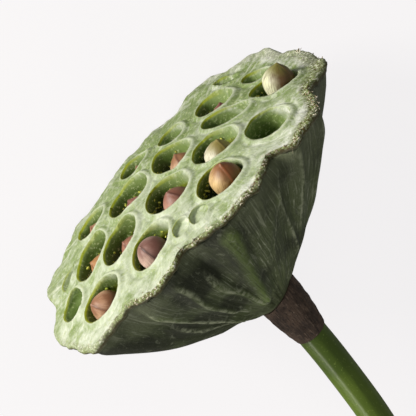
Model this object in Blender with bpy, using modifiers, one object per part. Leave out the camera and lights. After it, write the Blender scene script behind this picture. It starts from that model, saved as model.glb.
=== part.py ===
"""A fresh lotus seed pod on its cut stalk, lying on a table on the rim of its face.

The pod is drawn in its own frame first: the face looks along +Z, the stalk leaves along -Z,
X and Y span the face. An empty named rest_pose then tips the whole thing over, so that two
lobes of the rim and the cut end of the stalk stand on the plane Z = 0.
Metres throughout; sizes are written in millimetres times MM.
"""

from math import cos, pi, radians, sin

import bmesh
import bpy
import numpy as np
from mathutils import Matrix, Vector

MM = 0.001

# The face: a shallow dome, curved more along X than along Y
FACE_HALF_X = 59 * MM
FACE_HALF_Y = 50 * MM
DOME_HEIGHT = 5 * MM
DOME_DROP_X = 12 * MM
DOME_DROP_Y = 4 * MM

# The rim: angle round the face in degrees, distance from its middle and how far it turns up, in mm.
# The lobes at 255 and 288 degrees are the two that the pod lies on.
RIM = (
    (2, 60, 0.7), (10, 58.4, 0.7), (18, 57.6, 0.7), (26, 56.6, 0.7), (30, 51.5, 0.7), (35, 47.5, 0.7),
    (42, 46.6, 0.7), (50, 46.6, 0.7), (58, 44.8, 0.7), (65, 42.6, 0.7), (72, 39.3, 0.7), (79, 40.2, 0.7),
    (88, 41, 0.7), (96, 42.3, 0.7), (104, 44.3, 0.7), (111, 44.7, 0.7), (118, 43.1, 0.7), (125, 41.8, 0.7),
    (129, 42, 0.7), (133, 49, 0.7), (138, 50, 0.7), (145, 52.2, 0.7), (152, 53, 0.7), (160, 52.2, 0.7),
    (168, 51.8, 0.7), (175, 55.5, 0.7), (182, 60.3, 0.7), (190, 61.3, 0.4), (198, 62, 2.8), (205, 60.5, 2.6),
    (213, 62.5, 3.8), (218, 63, 3), (226, 56.8, 2.4), (234, 60.5, 1.5), (241, 55.5, 1.3), (248, 51.5, -1.2),
    (255, 53.3, -2.5), (263, 51, -0.9), (271, 48.5, -1.4), (279, 48.5, -1.7), (288, 53.9, -2.5),
    (295, 51.5, -1.8), (303, 57, -1.2), (311, 56.4, 0), (318, 59.5, 0.4), (327, 63.8, 1.5), (333, 61, 2.4),
    (340, 58.5, 0.8), (348, 60.6, 0.7), (355, 60.8, 0.7),
)
RIM_ROUNDING = 1.6 * MM

# The outer wall: a round-bottomed cup that runs down to the neck
NECK_CENTRE = Vector((3 * MM, 0, -48.2 * MM))
NECK_RADIUS = 7.9 * MM
NECK_SLOPE = 0.24
CONE_SHARE = 0.68
CONE_SHARE_SWING = 0.04
BOWL_POWER = 2.4
POD_STEPS = 90
WALL_RINGS = 12

# Ridges down the wall, like folds of cloth: angle and share of the way out where each starts and
# where it ends, height in mm and half width in degrees
RIDGES = (
    (91, 1.0, 79, 0.3, 2.4, 6.5), (128, 1.0, 96, 0.6, 1.4, 4.5), (119, 0.85, 129, 0.33, 1.0, 4.5),
    (133, 1.0, 133, 0.6, 1.0, 4), (150, 0.95, 146, 0.5, 1.2, 5), (60, 0.95, 57, 0.5, 1.5, 4.5),
    (69, 0.78, 71, 0.2, 1.5, 5), (40, 0.88, 47, 0.3, 1.6, 5), (33, 0.65, 32, 0.2, 0.9, 4.5),
    (18, 1.0, 18, 0.3, 1.0, 6), (0, 1.0, 4, 0.3, 0.6, 7), (168, 1.0, 168, 0.3, 1.0, 6),
    (187, 0.9, 190, 0.3, 1.3, 5), (208, 1.0, 205, 0.2, 2.0, 7), (229, 0.95, 224, 0.25, 1.4, 6),
    (254, 1.0, 247, 0.2, 2.0, 6), (289, 1.0, 284, 0.25, 2.0, 6), (310, 0.95, 306, 0.3, 1.5, 6),
    (330, 1.0, 330, 0.2, 2.1, 7),
)

# The seed cells open in the face and lean in towards a point below the neck
CELL_FOCUS = Vector((3 * MM, 0, -84 * MM))
CELL_STEPS = 16
LIP_RADIUS = 1.5 * MM
LIP_SINK = 0.7 * MM
LIP_STEPS = 6

# Each cell: place on the face (x, y), mouth (width, height), turn in degrees, and depth, in mm
CELLS = {
    "a1": (48.9, -5.5, 10.2, 14.0, -8, 4.5),
    "a2": (40.0, 12.0, 14.6, 17.6, 55, 12.0),
    "a3": (34.0, -12.8, 14.2, 19.0, -41, 14.5),
    "a4": (27.0, -29.5, 11.5, 13.2, 90, 12.0),
    "a5": (44.5, -21.0, 5.8, 9.0, -57, 3.0),
    "b1": (17.7, 19.9, 16.6, 17.2, -43, 13.0),
    "b2": (23.6, 0.3, 14.7, 19.0, -44, 15.0),
    "b3": (12.3, -16.8, 16.2, 17.4, 58, 15.0),
    "b4": (4.2, -33.0, 10.6, 12.0, 90, 12.8),
    "c1": (2.9, 5.4, 16.6, 20.0, 17, 14.5),
    "c2": (-6.2, -11.2, 14.2, 17.6, 30, 14.5),
    "c3": (-10.9, -26.5, 10.2, 12.2, -7, 8.5),
    "d1": (-10.8, 24.5, 15.6, 17.6, 42, 12.5),
    "d2": (-17.7, 5.7, 16.2, 17.2, 54, 13.5),
    "d3": (-27.0, -7.2, 10.8, 18.0, 55, 9.0),
    "d4": (-28.0, -22.6, 13.8, 15.6, 19, 13.5),
    "d5": (-36.4, -33.8, 5.0, 9.0, 55, 3.0),
    "e1": (-33.3, 15.8, 15.0, 16.2, -4, 12.0),
    "e2": (-44.3, -5.4, 13.6, 17.2, 51, 8.0),
    "e3": (-43.3, -20.1, 8.0, 11.2, 37, 6.0),
    "f1": (1.0, 30.4, 6.8, 8.8, -15, 3.0),
    "f2": (7.6, 28.4, 6.2, 8.2, -24, 3.0),
}

# Each seed: its cell, shift across it (x, y) and height of its tip over the mouth in mm,
# lean in degrees and the direction it leans to, share of the full size, and its skin
SEEDS = (
    ("a2", 2.2, -0.4, 2.9, 6, 0, 1.0, "pink"),
    ("a3", 1.4, 0.0, -0.4, 6, 0, 1.0, "tan"),
    ("a4", 1.2, 0.0, 0.2, 0, 0, 0.85, "pink"),
    ("b1", 1.6, 0.0, 3.4, 6, 20, 1.0, "mauve"),
    ("b2", 0.3, 0.0, -0.9, 0, 0, 1.0, "pink"),
    ("b3", 1.2, 0.0, -0.8, 0, 0, 1.0, "pink"),
    ("b4", -0.3, 0.0, -0.8, 0, 0, 0.82, "pink"),
    ("c1", -0.2, 0.0, 0.3, 5, 40, 1.0, "pink"),
    ("c2", -0.9, 0.0, 0.0, 0, 0, 1.0, "pink"),
    ("d1", -1.5, 0.0, 4.6, 10, 185, 1.0, "tan"),
    ("d2", 0.5, 0.0, 1.8, 15, 170, 1.0, "cream"),
    ("d4", -0.8, 0.0, -0.6, 6, 180, 0.92, "mauve"),
    ("e2", -1.5, 0.0, 6.8, 8, 150, 1.0, "cream"),
)
SEED_LENGTH = 13.2 * MM
SEED_DIAMETER = 10.4 * MM
SEED_WIDEST = 0.44
SEED_STEPS = 14
SEED_RINGS = 8
SEED_SEAM = 0.35 * MM

# The scar collar, where petals and stamens fell off, and the stalk below it
JOINT_GAP = 0.3 * MM
COLLAR_TOP_RADIUS = 8.0 * MM
COLLAR_END_RADIUS = 5.7 * MM
COLLAR_END = Vector((4.4 * MM, 0, -67.6 * MM))
STALK_RADIUS = 5.2 * MM
STALK_ROUTE = (
    COLLAR_END,
    Vector((6.1, -0.2, -82)) * MM,
    Vector((10.3, -0.4, -107)) * MM,
    Vector((15.3, -0.6, -126.5)) * MM,
    Vector((22.0, -1.0, -145.5)) * MM,
)
STALK_POINTS = 22
AIR_CANAL_DEPTH = 7 * MM
AIR_CANAL_RADIUS = 0.95 * MM
AIR_CANAL_RING = 2.9 * MM
AIR_CANALS = 6

# How it lies: the tilt of the pod's axis above the table, and how much the table flattens
REST_TILT = radians(17.75)
FLAT_DEPTH = 0.35 * MM

SKINS = {
    "pod_green": ((0.40, 0.52, 0.22), 0.55),
    "scar_brown": ((0.075, 0.040, 0.028), 0.9),
    "stalk_green": ((0.15, 0.26, 0.03), 0.4),
    "pink": ((0.52, 0.30, 0.22), 0.55),
    "mauve": ((0.33, 0.17, 0.15), 0.55),
    "tan": ((0.58, 0.38, 0.17), 0.55),
    "cream": ((0.62, 0.62, 0.36), 0.55),
}


def clear_scene():
    for obj in list(bpy.data.objects):
        bpy.data.objects.remove(obj, do_unlink=True)


def new_collection(name, hidden=False):
    collection = bpy.data.collections.new(name)
    bpy.context.scene.collection.children.link(collection)
    collection.hide_render = hidden
    return collection


def skin(name):
    """A Principled material in one of the plant's colours."""
    colour, roughness = SKINS[name]
    material = bpy.data.materials.new(name)
    material.use_nodes = True
    shader = material.node_tree.nodes["Principled BSDF"]
    shader.inputs["Base Color"].default_value = (*colour, 1)
    shader.inputs["Roughness"].default_value = roughness
    shader.inputs["Metallic"].default_value = 0
    return material


def put(name, mesh, collection, material=None):
    obj = bpy.data.objects.new(name, mesh)
    collection.objects.link(obj)
    if material:
        mesh.materials.append(material)
    return obj


def move_to(obj, collection):
    for home in list(obj.users_collection):
        home.objects.unlink(obj)
    collection.objects.link(obj)


def take_modifiers(obj):
    """Replaces the object's mesh by its evaluated one, and drops its modifiers."""
    graph = bpy.context.evaluated_depsgraph_get()
    mesh = bpy.data.meshes.new_from_object(obj.evaluated_get(graph))
    obj.modifiers.clear()
    obj.data = mesh
    return mesh


def turned(name, profile, steps, collection):
    """A closed turned shape: the profile of (radius, height) runs from axis to axis,
    outer side downwards, and a Screw modifier takes it round Z."""
    mesh = bpy.data.meshes.new(name)
    edges = [(i, i + 1) for i in range(len(profile) - 1)]
    mesh.from_pydata([(r, 0, z) for r, z in profile], edges, [])
    obj = put(name, mesh, collection)
    screw = obj.modifiers.new("turn", "SCREW")
    screw.steps = screw.render_steps = steps
    screw.use_merge_vertices = True
    screw.merge_threshold = 1e-5
    screw.use_smooth_shade = True
    take_modifiers(obj)
    return obj


def coordinates(mesh):
    points = np.empty(len(mesh.vertices) * 3)
    mesh.vertices.foreach_get("co", points)
    return points.reshape(-1, 3)


def set_coordinates(mesh, points):
    mesh.vertices.foreach_set("co", points.ravel())
    mesh.update()


def round_the_rim(angle, column):
    """A column of RIM as a smooth function of the angle: a cubic between neighbours,
    with each slope taken across its two neighbours."""
    knots = np.radians([row[0] for row in RIM])
    sizes = np.array([row[column] for row in RIM]) * MM
    knots = np.concatenate([knots[-2:] - 2 * pi, knots, knots[:2] + 2 * pi])
    sizes = np.concatenate([sizes[-2:], sizes, sizes[:2]])
    slopes = np.gradient(sizes, knots)
    angle = np.mod(angle, 2 * pi)
    i = np.clip(np.searchsorted(knots, angle) - 1, 0, len(knots) - 2)
    step = knots[i + 1] - knots[i]
    t = (angle - knots[i]) / step
    return (
        sizes[i] * (1 + 2 * t) * (1 - t) ** 2
        + slopes[i] * step * t * (1 - t) ** 2
        + sizes[i + 1] * t * t * (3 - 2 * t)
        + slopes[i + 1] * step * t * t * (t - 1)
    )


def turn_between(angle, middle):
    """The angle from middle, wrapped to -pi..pi."""
    return np.mod(angle - middle + pi, 2 * pi) - pi


def face_height(x, y):
    """The dome of the face, turned up a little along its edge."""
    angle = np.arctan2(y, x)
    share = np.hypot(x, y) / round_the_rim(angle, 1)
    dome = DOME_HEIGHT - DOME_DROP_X * (x / FACE_HALF_X) ** 2 - DOME_DROP_Y * (y / FACE_HALF_Y) ** 2
    return dome + round_the_rim(angle, 2) * np.clip(share, 0, 1.05) ** 6


def face_normal(x, y):
    """Unit normal of the face, from the height's differences over a tenth of a millimetre."""
    step = 0.1 * MM
    slope_x = (face_height(x + step, y) - face_height(x - step, y)) / (2 * step)
    slope_y = (face_height(x, y + step) - face_height(x, y - step)) / (2 * step)
    return Vector((-slope_x, -slope_y, 1)).normalized()


def ridge_height(angle, share):
    """How far the wall's folds stand out: each ridge is a bell across its line from start to end,
    fading in and out over a tenth of the way; between ridges the wall sinks by half a millimetre."""
    total = np.full_like(angle, -0.5 * MM)
    for start_angle, start, end_angle, end, height, width in RIDGES:
        along = np.clip((start - share) / (start - end), 0, 1)
        line = np.radians(start_angle + (end_angle - start_angle) * along)
        across = turn_between(angle, line) / radians(width)
        fade = np.clip((start + 0.1 - share) / 0.1, 0, 1) * np.clip((share - end + 0.1) / 0.1, 0, 1)
        total += height * MM * fade * np.exp(-(across**2))
    return total * np.clip((1 - share) / 0.06, 0, 1) * np.clip(share / 0.15, 0, 1)


def make_pod_body(collection):
    """The receptacle without its cells: a unit turned shape whose radius 1 is the rim and whose
    height tells face (above 0) from wall (0 down to -1), then carried onto the real outline."""
    face = [(sin(pi / 2 * i / 9), 1.0) for i in range(8)]
    rim = [(0.965, 0.95), (0.99, 0.6), (1.0, 0.0)]
    wall = [(1 - (i / WALL_RINGS) ** 1.15, -i / WALL_RINGS) for i in range(1, WALL_RINGS + 1)]
    pod = turned("pod", [*face, *rim, *wall[:-1], (0.0, -1.0)], POD_STEPS, collection)
    points = coordinates(pod.data)
    x, y, kind = points.T
    angle, share = np.arctan2(y, x), np.hypot(x, y)
    on_wall = kind < 0
    edge = round_the_rim(angle, 1)
    face_x, face_y = share * edge * np.cos(angle), share * edge * np.sin(angle)
    top = face_height(face_x, face_y) - RIM_ROUNDING * (1 - np.clip(kind, 0, 1)) ** 1.5

    # The wall is laid out by its share of the way out from the neck
    neck_share = np.clip(share, 0, 1)
    rim_x, rim_y = edge * np.cos(angle), edge * np.sin(angle)
    neck_x = NECK_CENTRE.x + NECK_RADIUS * np.cos(angle)
    neck_y = NECK_CENTRE.y + NECK_RADIUS * np.sin(angle)
    rim_z = face_height(rim_x, rim_y) - RIM_ROUNDING
    cone = CONE_SHARE - CONE_SHARE_SWING * np.cos(angle)
    drop = (1 - cone) * (1 - neck_share**BOWL_POWER) + cone * (1 - neck_share)
    ridge = ridge_height(angle, neck_share)
    wall_x = neck_x + (rim_x - neck_x) * neck_share + ridge * np.cos(angle) * 0.8
    wall_y = neck_y + (rim_y - neck_y) * neck_share + ridge * np.sin(angle) * 0.8
    neck_z = NECK_CENTRE.z - NECK_SLOPE * NECK_RADIUS * np.cos(angle)
    wall_z = rim_z + (neck_z - rim_z) * drop - ridge * 0.6

    at_axis = share < 1e-6
    out = np.stack(
        [
            np.where(on_wall, np.where(at_axis, NECK_CENTRE.x, wall_x), face_x),
            np.where(on_wall, np.where(at_axis, NECK_CENTRE.y, wall_y), face_y),
            np.where(on_wall, wall_z, top),
        ],
        axis=1,
    )
    set_coordinates(pod.data, out)
    return pod


def cell_frame(x, y):
    """Where a cell's mouth lies on the face, with Z pointing out of the cell."""
    mouth = Vector((x * MM, y * MM, float(face_height(x * MM, y * MM))))
    return mouth, (mouth - CELL_FOCUS).normalized()


def upright(direction, turn=0.0):
    """A rotation whose Z is the given direction and whose X stays as near world X as it can."""
    side = (Vector((1, 0, 0)) - direction * direction.x).normalized()
    across = direction.cross(side)
    turned_axes = Matrix((side, across, direction)).transposed()
    return turned_axes.to_4x4() @ Matrix.Rotation(turn, 4, "Z")


def make_lip(name, cell, collection):
    """The raised ring of flesh round a mouth: a torus sunk into the face."""
    x, y, width, height, turn, _ = cell
    middle = (width + height) / 4 * MM
    bpy.ops.mesh.primitive_torus_add(
        major_segments=CELL_STEPS,
        minor_segments=LIP_STEPS,
        major_radius=middle,
        minor_radius=LIP_RADIUS,
    )
    lip = bpy.context.object
    move_to(lip, collection)
    lip.name = name
    mouth = Vector((x * MM, y * MM, float(face_height(x * MM, y * MM))))
    normal = face_normal(x * MM, y * MM)
    shape = Matrix.Diagonal((width / 2 * MM / middle, height / 2 * MM / middle, 1, 1))
    place = Matrix.Translation(mouth - normal * LIP_SINK) @ upright(normal, radians(turn))
    lip.data.transform(place @ shape)
    return lip


def make_cell(name, cell, collection):
    """The hollow of a cell: straight through the lip, a little wider below, round at the bottom."""
    x, y, width, height, turn, depth = cell
    deep = depth * MM
    profile = [
        (0, 4 * MM), (0.98, 4 * MM), (0.97, 0.6 * MM), (1.02, -0.22 * deep), (1.0, -0.5 * deep),
        (0.8, -0.8 * deep), (0.45, -0.96 * deep), (0, -deep),
    ]
    hollow = turned(name, profile, CELL_STEPS, collection)
    mouth, axis = cell_frame(x, y)
    shape = Matrix.Diagonal((width / 2 * MM, height / 2 * MM, 1, 1))
    hollow.data.transform(Matrix.Translation(mouth) @ upright(axis, radians(turn)) @ shape)
    return hollow


def boolean(obj, operation, collection):
    modifier = obj.modifiers.new(operation.lower(), "BOOLEAN")
    modifier.operation = operation
    modifier.operand_type = "COLLECTION"
    modifier.collection = collection
    modifier.solver = "EXACT"
    take_modifiers(obj)


def seed_profile():
    """Radius and height of an acorn-like seed from its tip, at height 0, down to its base."""
    rows = []
    for i in range(SEED_RINGS + 1):
        t = i / SEED_RINGS
        if t <= SEED_WIDEST:
            radius = sin(pi / 2 * t / SEED_WIDEST) ** 0.82
        else:
            radius = cos(pi / 2 * (t - SEED_WIDEST) / (1 - SEED_WIDEST)) ** 0.62
        rows.append((max(0.0, radius) * SEED_DIAMETER / 2, -t * SEED_LENGTH))
    rows[0], rows[-1] = (0, 0), (0, -SEED_LENGTH)
    return rows


def make_seed(number, row, collection, materials):
    """One loose seed: pointed tip outwards, with a raised seam down one side."""
    cell_name, shift_x, shift_y, tip, lean, towards, size, colour = row
    seed = turned(f"seed_{number:02d}", seed_profile(), SEED_STEPS, collection)
    points = coordinates(seed.data)
    angle = np.arctan2(points[:, 1], points[:, 0])
    radius = np.hypot(points[:, 0], points[:, 1])
    on_seam = np.abs(turn_between(angle, pi)) < pi / SEED_STEPS
    grown = np.where(on_seam & (radius > 1e-6), 1 + SEED_SEAM / np.maximum(radius, 1 * MM), 1)
    points[:, :2] *= grown[:, None]
    set_coordinates(seed.data, points * size)

    x, y = CELLS[cell_name][:2]
    mouth, axis = cell_frame(x, y)
    middle = Vector((0, 0, -SEED_LENGTH / 2 * size))
    lean_axis = Vector((-sin(radians(towards)), cos(radians(towards)), 0))
    swing = Matrix.Rotation(radians(lean), 4, lean_axis)
    leaning = Matrix.Translation(middle) @ swing @ Matrix.Translation(-middle)
    shift = Matrix.Translation(Vector((shift_x, shift_y, tip)) * MM)
    seed.data.transform(Matrix.Translation(mouth) @ upright(axis) @ shift @ leaning)
    seed.data.materials.append(materials[colour])
    return seed


def make_collar(collection, material):
    """The brown scarred neck: a tapering ring, a little swollen, from the pod to the stalk."""
    length = (NECK_CENTRE - COLLAR_END).length - 2 * JOINT_GAP
    profile = [(0, 0)]
    for i in range(8):
        t = i / 7
        radius = COLLAR_TOP_RADIUS + (COLLAR_END_RADIUS - COLLAR_TOP_RADIUS) * t
        profile.append((radius + 0.5 * MM * sin(pi * t), -length * t))
    profile.append((0, -length))
    collar = turned("collar", profile, 28, collection)
    points = coordinates(collar.data)
    angle = np.arctan2(points[:, 1], points[:, 0])
    share = np.clip(-points[:, 2] / length, 0, 1)
    bump = 1 + 0.03 * np.sin(5 * angle + 9 * share) * np.sin(pi * share)
    points[:, :2] *= bump[:, None]
    set_coordinates(collar.data, points)
    axis = (NECK_CENTRE - COLLAR_END).normalized()
    top = NECK_CENTRE - Vector((0, 0, JOINT_GAP))
    collar.data.transform(Matrix.Translation(top) @ upright(axis))
    # Its upper end lies along the pod's sloping neck, and its lower end square to the stalk
    points = coordinates(collar.data)
    sloping = top.z - NECK_SLOPE * (points[:, 0] - top.x)
    points[:, 2] = np.where(share < 1e-4, sloping, np.minimum(points[:, 2], sloping - 0.4 * MM))
    set_coordinates(collar.data, points)
    collar.data.materials.append(material)
    return collar


def stalk_line():
    """Centre of the stalk: a smooth curve through STALK_ROUTE, at STALK_POINTS even parameters."""
    route = np.array([tuple(p) for p in STALK_ROUTE])
    ends = np.concatenate([[2 * route[0] - route[1]], route, [2 * route[-1] - route[-2]]])
    line = []
    for u in np.linspace(0, len(route) - 1, STALK_POINTS):
        i = min(int(u), len(route) - 2)
        t = u - i
        a, b, c, d = ends[i : i + 4]
        line.append(
            0.5 * (2 * b + (c - a) * t + (2 * a - 5 * b + 4 * c - d) * t * t + (3 * b - a - 3 * c + d) * t**3)
        )
    return [Vector(p) for p in line]


def make_stalk(collection, material):
    """The stalk as a filled tube along its line, with the air canals showing in the cut end."""
    line = stalk_line()
    start = (line[1] - line[0]).normalized()
    line[0] = line[0] + start * JOINT_GAP
    curve = bpy.data.curves.new("stalk_line", "CURVE")
    curve.dimensions = "3D"
    curve.bevel_depth = STALK_RADIUS
    curve.bevel_resolution = 3
    curve.use_fill_caps = True
    spline = curve.splines.new("POLY")
    spline.points.add(len(line) - 1)
    for point, place in zip(spline.points, line):
        point.co = (*place, 1)
    tube = bpy.data.objects.new("stalk_tube", curve)
    collection.objects.link(tube)
    graph = bpy.context.evaluated_depsgraph_get()
    mesh = bpy.data.meshes.new_from_object(tube.evaluated_get(graph))
    bpy.data.objects.remove(tube)
    shape = bmesh.new()
    shape.from_mesh(mesh)
    bmesh.ops.remove_doubles(shape, verts=shape.verts, dist=1e-6)
    shape.to_mesh(mesh)
    shape.free()
    stalk = put("stalk", mesh, collection, material)

    canals = new_collection("air_canals", hidden=True)
    end, axis = line[-1], (line[-2] - line[-1]).normalized()
    frame = Matrix.Translation(end) @ upright(axis)
    centres = [(0, 0)] + [
        (AIR_CANAL_RING * cos(2 * pi * i / AIR_CANALS), AIR_CANAL_RING * sin(2 * pi * i / AIR_CANALS))
        for i in range(AIR_CANALS)
    ]
    for x, y in centres:
        canal = bmesh.new()
        bmesh.ops.create_cone(
            canal,
            cap_ends=True,
            segments=8,
            radius1=AIR_CANAL_RADIUS,
            radius2=AIR_CANAL_RADIUS,
            depth=2 * AIR_CANAL_DEPTH,
            matrix=frame @ Matrix.Translation((x, y, 0)),
        )
        canal_mesh = bpy.data.meshes.new("air_canal")
        canal.to_mesh(canal_mesh)
        canal.free()
        put("air_canal", canal_mesh, canals)
    boolean(stalk, "DIFFERENCE", canals)
    remove_all(canals)
    return stalk


def remove_all(collection):
    for obj in list(collection.objects):
        bpy.data.objects.remove(obj, do_unlink=True)


def lowest(obj, place, near=None):
    """The least height that the object's points reach once placed, or those near a point."""
    points = [place @ v.co for v in obj.data.vertices if near is None or near(v.co)]
    return min(p.z for p in points)


def lay_down(parts, pod, stalk, cutters):
    """Tips everything over with an empty, sets the middle of its box over the origin,
    and flattens the two rim lobes and the stalk's end where they stand on Z = 0."""
    tipped = Matrix.Rotation(pi / 2 - REST_TILT, 4, "X")
    left = lowest(pod, tipped, lambda p: p.x < 0 and p.y < -40 * MM)
    right = lowest(pod, tipped, lambda p: p.x > 0 and p.y < -40 * MM)
    end = lowest(stalk, tipped)
    floor = max(left, right, end) + FLAT_DEPTH

    box = np.array([tipped @ v.co for part in parts for v in part.data.vertices])
    middle = (box.min(axis=0) + box.max(axis=0)) / 2
    rest = bpy.data.objects.new("rest_pose", None)
    bpy.context.scene.collection.objects.link(rest)
    rest.rotation_euler = (pi / 2 - REST_TILT, 0, 0)
    rest.location = (-middle[0], -middle[1], -floor)
    for part in parts:
        part.parent = rest

    bpy.ops.mesh.primitive_cube_add(size=1, location=(0, 0, -0.05))
    table = bpy.context.object
    table.name = "table_cutter"
    table.scale = (0.4, 0.4, 0.1)
    move_to(table, cutters)
    table.display_type = "WIRE"
    table.hide_render = True
    for part in (pod, stalk):
        cut = part.modifiers.new("stands_flat", "BOOLEAN")
        cut.operation = "DIFFERENCE"
        cut.solver = "EXACT"
        cut.object = table


def main():
    clear_scene()
    parts = new_collection("lotus_seed_pod")
    lips = new_collection("lips", hidden=True)
    hollows = new_collection("cell_hollows", hidden=True)
    cutters = new_collection("cutters", hidden=True)
    materials = {name: skin(name) for name in SKINS}

    pod = make_pod_body(parts)
    for name, cell in CELLS.items():
        make_lip(f"lip_{name}", cell, lips)
        make_cell(f"hollow_{name}", cell, hollows)
    boolean(pod, "UNION", lips)
    boolean(pod, "DIFFERENCE", hollows)
    pod.data.materials.append(materials["pod_green"])
    remove_all(lips)
    remove_all(hollows)

    seeds = [make_seed(i + 1, row, parts, materials) for i, row in enumerate(SEEDS)]
    collar = make_collar(parts, materials["scar_brown"])
    stalk = make_stalk(parts, materials["stalk_green"])
    lay_down([pod, collar, stalk, *seeds], pod, stalk, cutters)
    for part in (pod, collar, stalk, *seeds):
        part.data.shade_smooth()
        part.data.set_sharp_from_angle(angle=radians(50))


main()
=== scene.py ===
"""A fresh lotus seed pod on its cut stalk, lying on a pale table on two lobes of its rim.

The plant is drawn in the pod's own frame, in millimetres: the face looks along +Z, X and Y span
it, and the stalk leaves along -Z. One function then lays it on the table, in metres.
"""

from itertools import product
from math import pi, radians

import bpy
import numpy as np
from mathutils import Matrix, Vector


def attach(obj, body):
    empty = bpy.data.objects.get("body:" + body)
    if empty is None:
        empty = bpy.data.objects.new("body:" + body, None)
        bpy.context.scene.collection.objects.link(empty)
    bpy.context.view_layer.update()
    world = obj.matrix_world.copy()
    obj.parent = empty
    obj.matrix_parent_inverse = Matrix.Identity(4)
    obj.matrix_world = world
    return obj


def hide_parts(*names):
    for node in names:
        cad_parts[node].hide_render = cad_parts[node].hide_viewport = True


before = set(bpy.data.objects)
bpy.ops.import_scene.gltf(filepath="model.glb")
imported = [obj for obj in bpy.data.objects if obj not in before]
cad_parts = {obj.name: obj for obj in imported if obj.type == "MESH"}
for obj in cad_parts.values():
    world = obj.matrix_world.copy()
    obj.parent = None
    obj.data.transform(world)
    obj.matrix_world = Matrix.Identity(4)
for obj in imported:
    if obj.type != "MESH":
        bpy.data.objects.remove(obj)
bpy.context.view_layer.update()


# ---- The pod ----
# The swollen receptacle of a lotus flower, one grown body of spongy flesh. Its waxy face carries the
# cells, each with a raised lip; its edge is torn and corky where petals and stamens stood; its
# outer wall hangs in folds, velvety and very dark.

# The rim, point by point: angle in degrees, way out and height over the face in mm
RIM = (
    (2, 60, 0.7), (10, 58.4, 0.7), (18, 57.6, 0.7), (26, 56.6, 0.7), (30, 51.5, 0.7),
    (35, 47.5, 0.7), (42, 46.6, 0.7), (50, 46.6, 0.7), (58, 44.8, 0.7), (65, 42.6, 0.7),
    (72, 39.3, 0.7), (79, 40.2, 0.7), (88, 41, 0.7), (96, 42.3, 0.7), (104, 44.3, 0.7),
    (111, 44.7, 0.7), (118, 43.1, 0.7), (125, 41.8, 0.7), (129, 42, 0.7), (133, 49, 0.7),
    (138, 50, 0.7), (145, 52.2, 0.7), (152, 53, 0.7), (160, 52.2, 0.7), (168, 51.8, 0.7),
    (175, 55.5, 0.7), (182, 60.3, 0.7), (190, 61.3, 0.4), (198, 62, 2.8), (205, 60.5, 2.6),
    (213, 62.5, 3.8), (218, 63, 3), (226, 56.8, 2.4), (234, 60.5, 1.5), (241, 55.5, 1.3),
    (248, 51.5, -1.2), (255, 53.3, -2.5), (263, 51, -0.9), (271, 48.5, -1.4), (279, 48.5, -1.7),
    (288, 53.9, -2.5), (295, 51.5, -1.8), (303, 57, -1.2), (311, 56.4, 0), (318, 59.5, 0.4),
    (327, 63.8, 1.5), (333, 61, 2.4), (340, 58.5, 0.8), (348, 60.6, 0.7), (355, 60.8, 0.7),
)

# Each cell: place on the face (x, y), mouth (width, height), turn in degrees, depth, and how far
# a skin slopes in over its -X end, from 0 to 1
CELLS = {
    "a1": (48.9, -5.5, 10.2, 14.0, -8, 4.5, 0.0),
    "a2": (40.0, 12.0, 14.6, 17.6, 55, 12.0, 0.7),
    "a3": (34.0, -12.8, 14.2, 19.0, -41, 14.5, 0.6),
    "a4": (27.0, -29.5, 11.5, 13.2, 90, 12.0, 0.4),
    "a5": (44.5, -21.0, 5.8, 9.0, -57, 3.0, 0.0),
    "b1": (17.7, 19.9, 16.6, 17.2, -43, 13.0, 1.0),
    "b2": (23.6, 0.3, 14.7, 19.0, -44, 15.0, 0.7),
    "b3": (12.3, -16.8, 16.2, 17.4, 58, 15.0, 0.5),
    "b4": (4.2, -33.0, 10.6, 12.0, 90, 12.8, 0.3),
    "c1": (2.9, 5.4, 16.6, 20.0, 17, 14.5, 0.9),
    "c2": (-6.2, -11.2, 14.2, 17.6, 30, 14.5, 0.6),
    "c3": (-10.9, -26.5, 10.2, 12.2, -7, 8.5, 0.1),
    "d1": (-10.8, 24.5, 15.6, 17.6, 42, 12.5, 0.5),
    "d2": (-17.7, 5.7, 16.2, 17.2, 54, 13.5, 0.8),
    "d3": (-27.0, -7.2, 10.8, 18.0, 55, 9.0, 0.0),
    "d4": (-28.0, -22.6, 13.8, 15.6, 19, 13.5, 0.8),
    "d5": (-36.4, -33.8, 5.0, 9.0, 55, 3.0, 0.0),
    "e1": (-33.3, 15.8, 15.0, 16.2, -4, 12.0, 0.0),
    "e2": (-44.3, -5.4, 13.6, 17.2, 51, 8.0, 0.5),
    "e3": (-43.3, -20.1, 8.0, 11.2, 37, 6.0, 0.0),
    "f1": (1.0, 30.4, 6.8, 8.8, -15, 1.3, 0.0),
    "f2": (7.6, 28.4, 6.2, 8.2, -24, 1.1, 0.0),
}
# The point below the neck that every cell aims at
CELL_FOCUS = np.array([3.0, 0.0, -84.0])
# Cells whose floor the light reaches, and how much painted shade they get beside the deep ones;
# those under 3.5 mm deep get hardly any
OPEN_CELLS = ("a1", "a5", "c3", "d3", "d5", "e1", "e3", "f1", "f2")
OPEN_GLOOM, SHALLOW_GLOOM, SHALLOW = 0.42, 0.1, 3.5

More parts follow.
